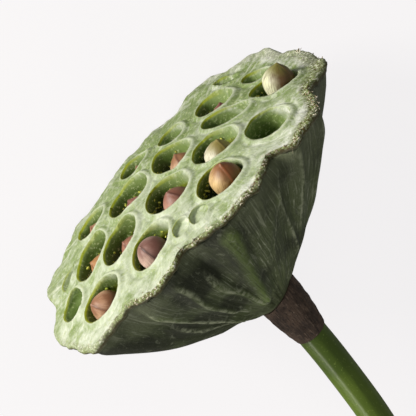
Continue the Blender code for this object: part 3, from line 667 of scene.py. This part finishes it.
def bits(places, ways, lengths, widths, thicknesses, curl):
    """Spindles in one mesh, from t along each and the angle round it: the middle line leaves its place
    along its way and curls by t squared; the half width is the root of a sine of t."""
    count = len(places)
    t = np.array([0.06, 0.3, 0.55, 0.8, 0.96])
    turn = np.arange(SIDES) / SIDES * 2 * pi
    side = np.cross(ways, directions(count))
    side /= np.linalg.norm(side, axis=1)[:, None]
    up = np.cross(ways, side)
    middle = ways[:, None] * t[:, None] + up[:, None] * (curl[:, None] * t**2)[..., None]
    middle = places[:, None] + middle * lengths[:, None, None]
    swell = np.sqrt(np.sin(pi * t))[None, :, None]
    across = side[:, None] * np.cos(turn)[None, :, None] * widths[:, None, None]
    across = across + up[:, None] * np.sin(turn)[None, :, None] * thicknesses[:, None, None]
    rings = middle[:, :, None] + across[:, None] * swell[..., None]
    ends = np.stack([places, places + (ways + up * curl[:, None]) * lengths[:, None]], axis=1)
    points = np.concatenate([rings.reshape(count, -1, 3), ends], axis=1)
    step = len(t) * SIDES
    ring = np.arange(step).reshape(len(t), SIDES)
    caps = np.concatenate([fan(step, ring[0, ::-1]), fan(step + 1, ring[-1])])
    offsets = (np.arange(count) * (step + 2))[:, None, None]
    quads = (bands(ring, turned=True)[None] + offsets).reshape(-1, 4)
    triangles = (caps[None] + offsets).reshape(-1, 3)
    return points.reshape(-1, 3), quads, triangles


# Crumbs on the walls of cells, mostly on the +X and -Y side, 2 to 7 mm down
count = CRUMBS_IN_A_CELL * len(CRUMB_CELLS)
owner = np.repeat([list(CELLS).index(name) for name in CRUMB_CELLS], CRUMBS_IN_A_CELL)
rows = np.array(list(CELLS.values()))[owner]
way = radians(-42) + random.normal(size=count) * 0.7
turned = way - np.radians(rows[:, 4])
radius = 1 / np.hypot(np.cos(turned) / (rows[:, 2] / 2), np.sin(turned) / (rows[:, 3] / 2))
down = 0.12 + 0.34 * random.random(count) ** 0.6
crumb_places, _, _ = down_the_cell(owner, radius * np.cos(way), radius * np.sin(way), down)
crumb_ways = directions(count)
crumb_sizes = 0.6 + 0.9 * random.random(count) ** 2
# Flakes and fibres along the torn side of the rim, some over its edge
flakes, fibres = 420, 12
angle = radians(TORN_MIDDLE) + np.clip(random.normal(size=flakes + fibres) * 0.75, -1.6, 1.5)
brink = round_the_rim(angle, 1)
reach = brink - 0.2 - 2.3 * random.random(flakes + fibres) ** 1.3
x, y = reach * np.cos(angle), reach * np.sin(angle)
z = face(x, y) - 0.3 - np.clip(reach - brink + 0.7, 0, 1)
rim_places = np.stack([x, y, z], axis=1)
outwards = np.stack([np.cos(angle), np.sin(angle), 0.4 + 0 * angle], axis=1)
rim_ways = directions(flakes + fibres) * (1, 1, 0.3) + 0.25 * outwards
rim_ways /= np.linalg.norm(rim_ways, axis=1)[:, None]
long = np.concatenate([random.uniform(0.4, 1.1, flakes), random.uniform(2.0, 4.5, fibres)])
broad = np.concatenate([random.uniform(0.1, 0.3, flakes), np.full(fibres, 0.04)])
flat = np.concatenate([np.full(flakes, 0.07), np.full(fibres, 0.04)])
points, quads, triangles = bits(
    np.concatenate([crumb_places, rim_places]),
    np.concatenate([crumb_ways, rim_ways]),
    np.concatenate([crumb_sizes * 1.1, long]),
    np.concatenate([crumb_sizes * 0.42, broad]),
    np.concatenate([crumb_sizes * 0.36, flat]),
    np.concatenate([random.uniform(-0.3, 0.3, count), random.uniform(-0.6, 0.6, flakes + fibres)]),
)
tone = np.concatenate([random.uniform(0, 0.4, count), random.uniform(0.6, 1, flakes + fibres)])
values = {"tone": np.repeat(tone, len(points) // len(tone))}


def dry_crumb(tree, shader):
    """Dead stamen and torn cork: matt and papery, yellow-green in the cells, brown to cream on the
    rim, with fibres 0.4 mm apart."""
    tone = add(tree, "Attribute", attribute_name="tone", out="Fac")
    fresh = add(tree, "MapRange", {0: tone, 1: 0.0, 2: 0.4})
    colour = add(tree, "Mix", {0: fresh, 6: "#7f8d24", 7: "#d9d968"}, **COLOUR)
    dried = add(tree, "MapRange", {0: tone, 1: 0.6, 2: 1.0})
    cork = add(tree, "Mix", {0: dried, 6: "#7d6234", 7: "#e9e3d0"}, **COLOUR)
    kind = add(tree, "MapRange", {0: tone, 1: 0.45, 2: 0.55})
    colour = add(tree, "Mix", {0: kind, 6: colour, 7: cork}, **COLOUR)
    tree.links.new(colour, shader.inputs["Base Color"])
    shader.inputs["Roughness"].default_value = 0.85
    place = add(tree, "TexCoord", out="Object")
    fibre = add(tree, "TexNoise", {"Vector": place, "Scale": 2500, "Detail": 2})
    rough = add(tree, "Bump", {"Strength": 0.4, "Distance": 0.0001, "Height": fibre})
    tree.links.new(rough, shader.inputs["Normal"])


crumbs = put("crumbs_and_flakes", laid(points), [quads, triangles], values)
crumbs.data.materials.append(finish("dry_stamen_and_cork", dry_crumb))
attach(crumbs, "root")


# ---- The seeds ----
# Thirteen loose nutlets, one to a cell: acorn-shaped, tip outwards, with a papery coat whose seam
# runs from the tip down one side. Each is painted paler on its side towards +X and -Y, where the
# light falls, and darker behind: painted light and shade.

SEED_LENGTH = 13.2
SEED_WIDTH = 10.4
# Where a seed is widest, as a share of its length from the tip
WIDEST = 0.44
# Each seed: cell, shift across it (x, y), height of its tip over the mouth in mm, lean in degrees
# and where it leans to, share of the full size, turn of its seam, and colours: painted lit side,
# painted shaded side, round the tip, seam
SEEDS = (
    ("a2", 2.2, -0.4, 2.9, 6, 0, 1.0, 95, "#dcb592", "#7d5238", "#8f5f42", "#6b432c"),
    ("a3", 1.4, 0.0, -0.4, 6, 0, 1.0, 60, "#d8b58e", "#8a6238", "#a8713c", "#7a4e2c"),
    ("a4", 1.2, 0.0, 0.2, 0, 0, 0.85, 80, "#d8b093", "#8f6248", "#96674f", "#6b432c"),
    ("b1", 1.6, 0.0, 3.4, 6, 20, 1.0, 88, "#e6c8b8", "#6b453d", "#7c5047", "#432925"),
    ("b2", 0.3, 0.0, -0.9, 0, 0, 1.0, 70, "#d3a491", "#7f5143", "#95624a", "#6b3f30"),
    ("b3", 1.2, 0.0, -0.8, 0, 0, 1.0, 50, "#d0a08e", "#7f5143", "#8a5a4e", "#6b3f30"),
    ("b4", -0.3, 0.0, -0.8, 0, 0, 0.82, 80, "#d8b093", "#8f6248", "#8a5c4c", "#6b432c"),
    ("c1", -0.2, 0.0, 0.3, 5, 40, 1.0, 120, "#cfa08c", "#6f463a", "#83503f", "#5a3328"),
    ("c2", -0.9, 0.0, 0.0, 0, 0, 1.0, 80, "#d9b697", "#7f5636", "#8f5f3c", "#6b432c"),
    ("d1", -1.5, 0.0, 4.6, 10, 185, 1.0, 92, "#d9b983", "#704a20", "#8a5230", "#8a4f28"),
    ("d2", 0.5, 0.0, 1.8, 15, 170, 1.0, 110, "#e2dfc8", "#7c6c37", "#8f8443", "#6a5d30"),
    ("d4", -0.8, 0.0, -0.6, 6, 180, 0.92, 80, "#c6978c", "#7a4a42", "#7c4a46", "#5a3330"),
    ("e2", -1.5, 0.0, 6.8, 8, 150, 1.0, 130, "#e0e1be", "#5d4424", "#85853f", "#6a5330"),
)


def axis_frame(x, y):
    """A cell's mouth on the bare face and a turned frame whose Z points out of the cell."""
    mouth = np.array([x, y, float(bare_face(np.array([x]), np.array([y]))[0])])
    out = mouth - CELL_FOCUS
    out = out / np.linalg.norm(out)
    side = np.array([1.0, 0, 0]) - out * out[0]
    side = side / np.linalg.norm(side)
    return mouth, np.stack([side, np.cross(out, side), out], axis=1)


def seed_shape(columns=64, rows=44):
    """A seed on its own axis, tip at the origin and body down -Z, from t, the share of its length,
    and the angle round it. Radius: a sine to the widest place, then a cosine to the base,
    both to small powers; a nib at the tip and a seam with a groove on each side at angle 0."""
    t = 0.5 - 0.5 * np.cos(np.linspace(0, pi, rows + 1))[1:-1]
    turn = np.arange(columns) / columns * 2 * pi
    t, turn = np.meshgrid(t, turn, indexing="ij")
    upper = np.sin(pi / 2 * np.clip(t / WIDEST, 0, 1)) ** 0.82
    lower = np.cos(pi / 2 * np.clip((t - WIDEST) / (1 - WIDEST), 0, 1)) ** 0.62
    radius = np.where(t <= WIDEST, upper, lower) * SEED_WIDTH / 2
    radius -= 0.3 * np.exp(-(((t - 0.05) / 0.03) ** 2))
    off = np.mod(turn + pi, 2 * pi) - pi
    fade = np.clip(t / 0.06, 0, 1) * np.clip((0.97 - t) / 0.2, 0, 1)
    grooves = np.exp(-(((np.abs(off) * radius - 0.7) / 0.3) ** 2))
    seam = np.exp(-((off * radius / 0.4) ** 2)) - 0.8 * grooves
    radius += fade * 0.16 * seam + 0.06 * np.sin(2 * turn + 1) * np.sin(pi * t)
    x, y, z = radius * np.cos(turn), radius * np.sin(turn), -t * SEED_LENGTH
    points = np.stack([x, y, z], axis=-1).reshape(-1, 3)
    points = np.concatenate([points, [[0, 0, 0.25], [0, 0, -SEED_LENGTH]]])
    ring = np.arange(t.size).reshape(t.shape)
    faces = [bands(ring), fan(t.size, ring[0]), fan(t.size + 1, ring[-1, ::-1])]
    grain = np.stack([np.cos(turn), np.sin(turn), 0.35 * t], axis=-1).reshape(-1, 3)
    values = {
        "along": np.concatenate([t.ravel(), [0, 1]]),
        "seam": np.concatenate([(np.exp(-((off * radius / 0.38) ** 2)) * fade).ravel(), [0, 0]]),
        "grain": np.concatenate([grain, [[0, 0, 0], [0, 0, 0.4]]]),
    }
    return points, faces, values


def seed_coat(lit_side_colour, shaded_side, round_tip, seam_line):
    """The papery coat of a ripe nutlet, dried on the plant: matt to satin, with painted light and shade
    on its two sides, darker round the tip, with fine fibres from tip to base and a darker or rusty
    seam."""

    def make(tree, shader):
        along, seam, facing_light = [
            add(tree, "Attribute", attribute_name=name, out="Fac") for name in ("along", "seam", "facing_light")
        ]
        grain = add(tree, "Attribute", attribute_name="grain", out="Vector")
        # Fibres 0.4 mm apart on a seed 10 mm across, and blotches of 3 mm
        fibres = add(tree, "TexNoise", {"Vector": grain, "Scale": 14, "Detail": 4, "Roughness": 0.6})
        place = add(tree, "TexCoord", out="Object")
        blotch = add(tree, "TexNoise", {"Vector": place, "Scale": 330, "Detail": 3})
        lit_share = add(tree, "Math", {0: blotch, 1: 0.6, 2: facing_light}, operation="MULTIPLY_ADD")
        near_tip = add(tree, "Math", {0: blotch, 1: -0.12, 2: along}, operation="MULTIPLY_ADD")
        # Painted light and shade: the lit colour on the side that faces the light, the shaded colour
        # behind
        colour = coats(tree, shaded_side, [
            (lit_share, 0.02, 0.68, 1, lit_side_colour),
            (near_tip, 0.24, 0.0, 0.85, round_tip),
            (fibres, 0.47, 0.66, 0.65, shaded_side),
        ])
        colour = add(tree, "Mix", {0: seam, 6: colour, 7: seam_line}, **COLOUR)
        tree.links.new(colour, shader.inputs["Base Color"])
        shader.inputs["Roughness"].default_value = 0.46
        paper = add(tree, "Bump", {"Strength": 0.25, "Distance": 0.0003, "Height": fibres})
        tree.links.new(paper, shader.inputs["Normal"])

    return make


SLOTS = (
    "pink", "tan", "pink", "mauve", "pink", "pink", "pink",
    "pink", "pink", "tan", "cream", "mauve", "cream",
)
# The way the light falls on the seeds, for their painted light and shade
LIGHT_ON_SEEDS = np.array([0.62, -0.36, 0.3])
points, faces, values = seed_shape()
for number, (row, slot) in enumerate(zip(SEEDS, SLOTS), 1):
    cell, shift_x, shift_y, tip, lean, towards, size, seam_turn, *colours = row
    middle = np.array([0, 0, -SEED_LENGTH / 2 * size])
    mouth, axes = axis_frame(*CELLS[cell][:2])
    swing_axis = Vector((-np.sin(radians(towards)), np.cos(radians(towards)), 0))
    swing = np.array(Matrix.Rotation(radians(lean), 3, swing_axis))
    spin = np.array(Matrix.Rotation(radians(seam_turn), 3, "Z"))
    body = ((points * size) @ spin.T - middle) @ swing.T
    # Painted light and shade: how far each point of a seed faces the light
    values["facing_light"] = body @ axes.T @ LIGHT_ON_SEEDS / (SEED_WIDTH / 2 * size)
    body = (body + middle + (shift_x, shift_y, tip)) @ axes.T + mouth
    seed = put(f"seed_coat_{number:02d}", laid(body), faces, values)
    seed.data.materials.append(finish(f"papery_coat_{cell}", seed_coat(*colours)))
    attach(seed, "root")
    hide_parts(f"seed_{number:02d}")


# ---- The neck ----
# A sleeve of corky scar tissue where petals and stamens fell off, between the pod and the stalk.
# It dried to a dull dark brown, with fine lengthwise cracks and pale grains.

COLLAR_END = np.array([4.4, 0.0, -67.6])


def tube(line, radius_at, columns):
    """A tube along a line of points: at each point a ring of the given radius stands square to the
    line, with its first column as near +X as it can be. Gives the rings, their indices and quads."""
    line = np.asarray(line, dtype=float)
    ahead = np.gradient(line, axis=0)
    ahead /= np.linalg.norm(ahead, axis=1)[:, None]
    side = np.array([1.0, 0, 0]) - ahead * ahead[:, :1]
    side /= np.linalg.norm(side, axis=1)[:, None]
    across = np.cross(ahead, side)
    turn = np.arange(columns) / columns * 2 * pi
    share = np.linspace(0, 1, len(line))
    radius = radius_at(share[:, None], turn[None, :])
    ring = line[:, None] + radius[..., None] * (
        side[:, None] * np.cos(turn)[None, :, None] + across[:, None] * np.sin(turn)[None, :, None]
    )
    index = np.arange(len(line) * columns).reshape(len(line), columns)
    return ring, index, bands(index, turned=True)


def lengthwise(rows, columns, reach):
    """Coordinates for patterns that run along a tube and close round it: the cosine and the sine of
    the angle, and the share of the length times a reach, which stretches the pattern."""
    turn, share = np.meshgrid(np.arange(columns) / columns * 2 * pi, np.linspace(0, 1, rows))
    return np.stack([np.cos(turn), np.sin(turn), share * reach], axis=-1).reshape(-1, 3)


def collar_radius(share, turn):
    """Falls evenly from 8 to 5.7 mm with a slight swelling, and is broken by cracks and grains."""
    place = np.broadcast_arrays(np.cos(turn) * 7, np.sin(turn) * 7, share * 5)
    place = np.stack(place, axis=-1).reshape(-1, 3)
    grains = cloud(place * (1, 1, 3), 1.1, 21).reshape(share.shape[0], -1)
    swells = cloud(place, 4.5, 22).reshape(share.shape[0], -1)
    cracks = np.abs(cloud(place * (1, 1, 0.5), 1.8, 23)).reshape(share.shape[0], -1)
    fade = np.sin(pi * np.clip(share, 0.02, 0.98)) ** 0.5
    broken = 0.16 * grains + 0.3 * swells + 0.3 * cracks - 0.1
    return 8.0 - 2.3 * share + 0.5 * np.sin(pi * share) + fade * broken


NECK_ROWS, NECK_COLUMNS = 70, 160
share = np.linspace(0, 1, NECK_ROWS)[:, None]
line = NECK + (0, 0, -0.3) + share * (COLLAR_END - NECK) * 0.985
ring, index, quads = tube(line, collar_radius, NECK_COLUMNS)
# The upper end follows the slope of the pod's own end
top = NECK[2] - 0.3 - NECK_SLOPE * (ring[..., 0] - NECK[0])
ring[..., 2] = np.minimum(ring[..., 2], top - share)
ring[0, :, 2] = top[0]
points = np.concatenate([ring.reshape(-1, 3), line[:1], line[-1:]])
caps = [fan(len(points) - 2, index[0, ::-1]), fan(len(points) - 1, index[-1])]
ends = [[0, 0, 0], [0, 0, 0.35]]
values = {"lengthwise": np.concatenate([lengthwise(NECK_ROWS, NECK_COLUMNS, 0.35), ends])}


def scar_cork(tree, shader):
    """Dry scar cork, weathered on the plant: very dark brown and dull, with paler grains, and fibres
    and cracks that run down the neck."""
    place = add(tree, "TexCoord", out="Object")
    along = add(tree, "Attribute", attribute_name="lengthwise", out="Vector")
    # Grains of 0.7 mm, fibres of 0.5 mm round a neck of 8 mm radius, and clouds of 5 mm
    grains = add(tree, "TexNoise", {"Vector": place, "Scale": 1400, "Detail": 4, "Roughness": 0.7})
    fibres = add(tree, "TexNoise", {"Vector": along, "Scale": 15, "Detail": 5, "Roughness": 0.65})
    cloudy = add(tree, "TexNoise", {"Vector": place, "Scale": 200, "Detail": 3})
    colour = coats(tree, "#3a2c24", [
        (cloudy, 0.3, 0.7, 1, "#5f4c3f"),
        (fibres, 0.47, 0.36, 0.8, "#1d1613"),  # cracks
        (fibres, 0.56, 0.7, 0.7, "#8f7a68"),  # worn ridges
        (grains, 0.6, 0.72, 0.7, "#a8937f"),
    ])
    tree.links.new(colour, shader.inputs["Base Color"])
    shader.inputs["Roughness"].default_value = 0.85
    rough = add(tree, "Bump", {"Strength": 0.6, "Distance": 0.0004, "Height": grains})
    split = add(tree, "Bump", {"Strength": 0.8, "Distance": 0.0008, "Height": fibres, "Normal": rough})
    tree.links.new(split, shader.inputs["Normal"])


collar = put("scar_collar", laid(points), [quads, *caps], values)
collar.data.materials.append(finish("dry_scar_cork", scar_cork))
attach(collar, "root")
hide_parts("collar")


# ---- The stalk ----
# A smooth leafless stalk, bent a little by the pod's weight and cut across at its end, where the
# air canals of a water plant show: one in the middle and six round it.

STALK_ROUTE = np.array(
    [COLLAR_END, (6.1, -0.2, -82), (10.3, -0.4, -107), (15.3, -0.6, -126.5), (22.0, -1.0, -145.5)]
)
STALK_RADIUS = 5.2
CANAL_RADIUS = 1.0
CANAL_DEPTH = 7.0
# How far the six outer canals stand from the middle one
CANAL_CIRCLE = 2.9


def smooth_line(route, count):
    """A curve through the route's points: cubic pieces whose slope at a point is half the step
    between its two neighbours."""
    ends = np.concatenate([[2 * route[0] - route[1]], route, [2 * route[-1] - route[-2]]])
    u = np.linspace(0, len(route) - 1, count)
    i = np.minimum(u.astype(int), len(route) - 2)
    t = (u - i)[:, None]
    a, b, c, d = ends[i], ends[i + 1], ends[i + 2], ends[i + 3]
    curved = (2 * a - 5 * b + 4 * c - d) * t**2 + (3 * b - a - 3 * c + d) * t**3
    return 0.5 * (2 * b + (c - a) * t + curved)


line = smooth_line(STALK_ROUTE, 120)
# It starts 0.3 mm past the neck's end, so that the two don't share a face
ahead = (line[1] - line[0]) / np.linalg.norm(line[1] - line[0])
line[0] = line[0] + ahead * 0.3


def stalk_radius(share, turn):
    """The stalk's radius with very faint ribs and swells."""
    return STALK_RADIUS + 0.04 * np.sin(11 * turn + 2 * share) + 0.06 * np.sin(9 * share + turn)


STALK_COLUMNS = 96
ring, index, quads = tube(line, stalk_radius, STALK_COLUMNS)


def cut_end(ring_points, middle, inward, rings=26):
    """The cut face as rings shrinking from the stalk's last ring to its middle; every point inside one
    of the seven canals drops along the stalk by the canal's depth, steeply at the canal's edge."""
    shares = np.linspace(1, 0, rings + 1)[1:-1]
    flat = middle + shares[:, None, None] * (ring_points - middle)
    x_axis = (ring_points[0] - middle) / np.linalg.norm(ring_points[0] - middle)
    y_axis = np.cross(inward, x_axis)
    offset = flat - middle
    px, py = offset @ x_axis, offset @ y_axis
    around = CANAL_CIRCLE * np.exp(1j * np.arange(6) * pi / 3)
    nearest = np.min([np.abs(px + 1j * py - centre) for centre in (0, *around)], axis=0)
    pit = np.clip((CANAL_RADIUS - nearest) / 0.22, 0, 1)
    return flat + (pit * CANAL_DEPTH)[..., None] * inward, pit


inward = (line[-2] - line[-1]) / np.linalg.norm(line[-2] - line[-1])
cap_rings, pit = cut_end(ring[-1], line[-1], inward)
start, cap_count = ring.size // 3, cap_rings.size // 3
cap_index = start + np.arange(cap_count).reshape(-1, STALK_COLUMNS)
cap_quads = bands([index[-1], *cap_index], turned=True)
hub = line[-1:] + inward * CANAL_DEPTH
points = np.concatenate([ring.reshape(-1, 3), cap_rings.reshape(-1, 3), hub, line[:1]])
caps = [fan(len(points) - 2, cap_index[-1]), fan(len(points) - 1, index[0, ::-1])]
values = {
    "end": np.concatenate([np.zeros(start), np.ones(cap_count), [1, 0]]),
    "pit": np.concatenate([np.zeros(start), pit.ravel(), [1, 0]]),
    "lengthwise": np.concatenate(
        [lengthwise(len(line), STALK_COLUMNS, 0.8), np.zeros((cap_count + 2, 3))]
    ),
}


def stalk_skin(tree, shader):
    """Fresh stalk skin: smooth, faintly glossy, deep yellow-green, with fine lengthwise lines and
    tiny pale breathing pores; the cut shows pale wet pith round canals painted dark as shade."""
    place = add(tree, "TexCoord", out="Object")
    along = add(tree, "Attribute", attribute_name="lengthwise", out="Vector")
    end, pit = [add(tree, "Attribute", attribute_name=name, out="Fac") for name in ("end", "pit")]
    # Clouds of 20 mm, lines of 0.6 mm round a stalk of 5 mm radius, pores of 0.8 mm
    cloudy = add(tree, "TexNoise", {"Vector": place, "Scale": 50, "Detail": 2})
    lines = add(tree, "TexNoise", {"Vector": along, "Scale": 9, "Detail": 4, "Roughness": 0.6})
    pores = add(tree, "TexNoise", {"Vector": place, "Scale": 1250, "Detail": 2})
    colour = coats(tree, "#475d15", [
        (cloudy, 0.3, 0.7, 1, "#5d7322"),
        (lines, 0.5, 0.72, 0.45, "#3f5415"),
        (pores, 0.62, 0.75, 0.6, "#8ba04e"),
    ])
    pith = coats(tree, "#cdd6a4", [(pores, 0.3, 0.7, 1, "#b5c384")])
    # Painted shade: the canals dark down their depth
    pith = add(tree, "Mix", {0: pit, 6: pith, 7: "#3b4a1d"}, **COLOUR)
    colour = add(tree, "Mix", {0: end, 6: colour, 7: pith}, **COLOUR)
    tree.links.new(colour, shader.inputs["Base Color"])
    shader.inputs["Roughness"].default_value = 0.42
    shader.inputs["IOR"].default_value = 1.42
    skin = add(tree, "Bump", {"Strength": 0.15, "Distance": 0.0002, "Height": pores})
    tree.links.new(skin, shader.inputs["Normal"])


stalk = put("stalk_skin_surface", laid(points), [quads, cap_quads, *caps], values)
stalk.data.materials.append(finish("fresh_stalk_skin", stalk_skin))
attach(stalk, "root")
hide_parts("stalk")


# ---- Table, light and camera ----
# A plain white table that glows evenly, one soft lamp low on the +X side of the face, a weak one
# low behind it for the wall, a faint one overhead, and a weak even light from all round.

floor = bpy.data.meshes.new("table_top")
floor.from_pydata([(-3, -3, 0), (3, -3, 0), (3, 3, 0), (-3, 3, 0)], [], [(0, 1, 2, 3)])
table = bpy.data.objects.new("table_top", floor)
bpy.context.scene.collection.objects.link(table)
# The table throws no light back on the plant, so the pod's under side stays as dark as it is
table.visible_diffuse = False
table.visible_glossy = False


def white_table(tree, shader):
    """Matt white board lit from below like a light table, so that shadows on it stay faint."""
    shader.inputs["Base Color"].default_value = linear("#5c5b5b")
    shader.inputs["Roughness"].default_value = 0.8
    shader.inputs["Specular IOR Level"].default_value = 0.0
    shader.inputs["Emission Color"].default_value = linear("#f8f6f7")
    shader.inputs["Emission Strength"].default_value = 0.9


table.data.materials.append(finish("matt_white_board", white_table))


def lamp(name, place, aim, width, watts, colour):
    """A square soft lamp at a place, turned so that it shines at its aim."""
    data = bpy.data.lights.new(name, "AREA")
    data.size, data.energy, data.color = width, watts, linear(colour)[:3]
    obj = bpy.data.objects.new(name, data)
    obj.location = place
    obj.rotation_euler = (Vector(place) - Vector(aim)).to_track_quat("Z", "Y").to_euler()
    bpy.context.scene.collection.objects.link(obj)


lamp("key_softbox", (0.53, -0.72, 0.37), (0, -0.03, 0.05), 0.34, 11.2, "#fffaf2")
lamp("side_softbox", (0.70, 0.44, 0.16), (0, -0.02, 0.05), 0.2, 2.4, "#fffaf2")
lamp("overhead_fill", (-0.1, 0.1, 1.3), (0, 0, 0), 1.2, 2, "#fbfaf4")

world = bpy.data.worlds.new("studio")
world.use_nodes = True
world.node_tree.nodes["Background"].inputs[0].default_value = linear("#f4f4ee")
world.node_tree.nodes["Background"].inputs[1].default_value = 0.24
bpy.context.scene.world = world
bpy.context.scene.view_settings.view_transform = "Standard"

view = bpy.data.cameras.new("camera")
view.lens = 182.25
view.clip_end = 10
camera = bpy.data.objects.new("camera", view)
camera.location = (-0.00196, -0.13444, 0.69594)
camera.rotation_euler = (radians(-4.959), radians(-5.296), radians(133.229))
bpy.context.scene.collection.objects.link(camera)
bpy.context.scene.camera = camera
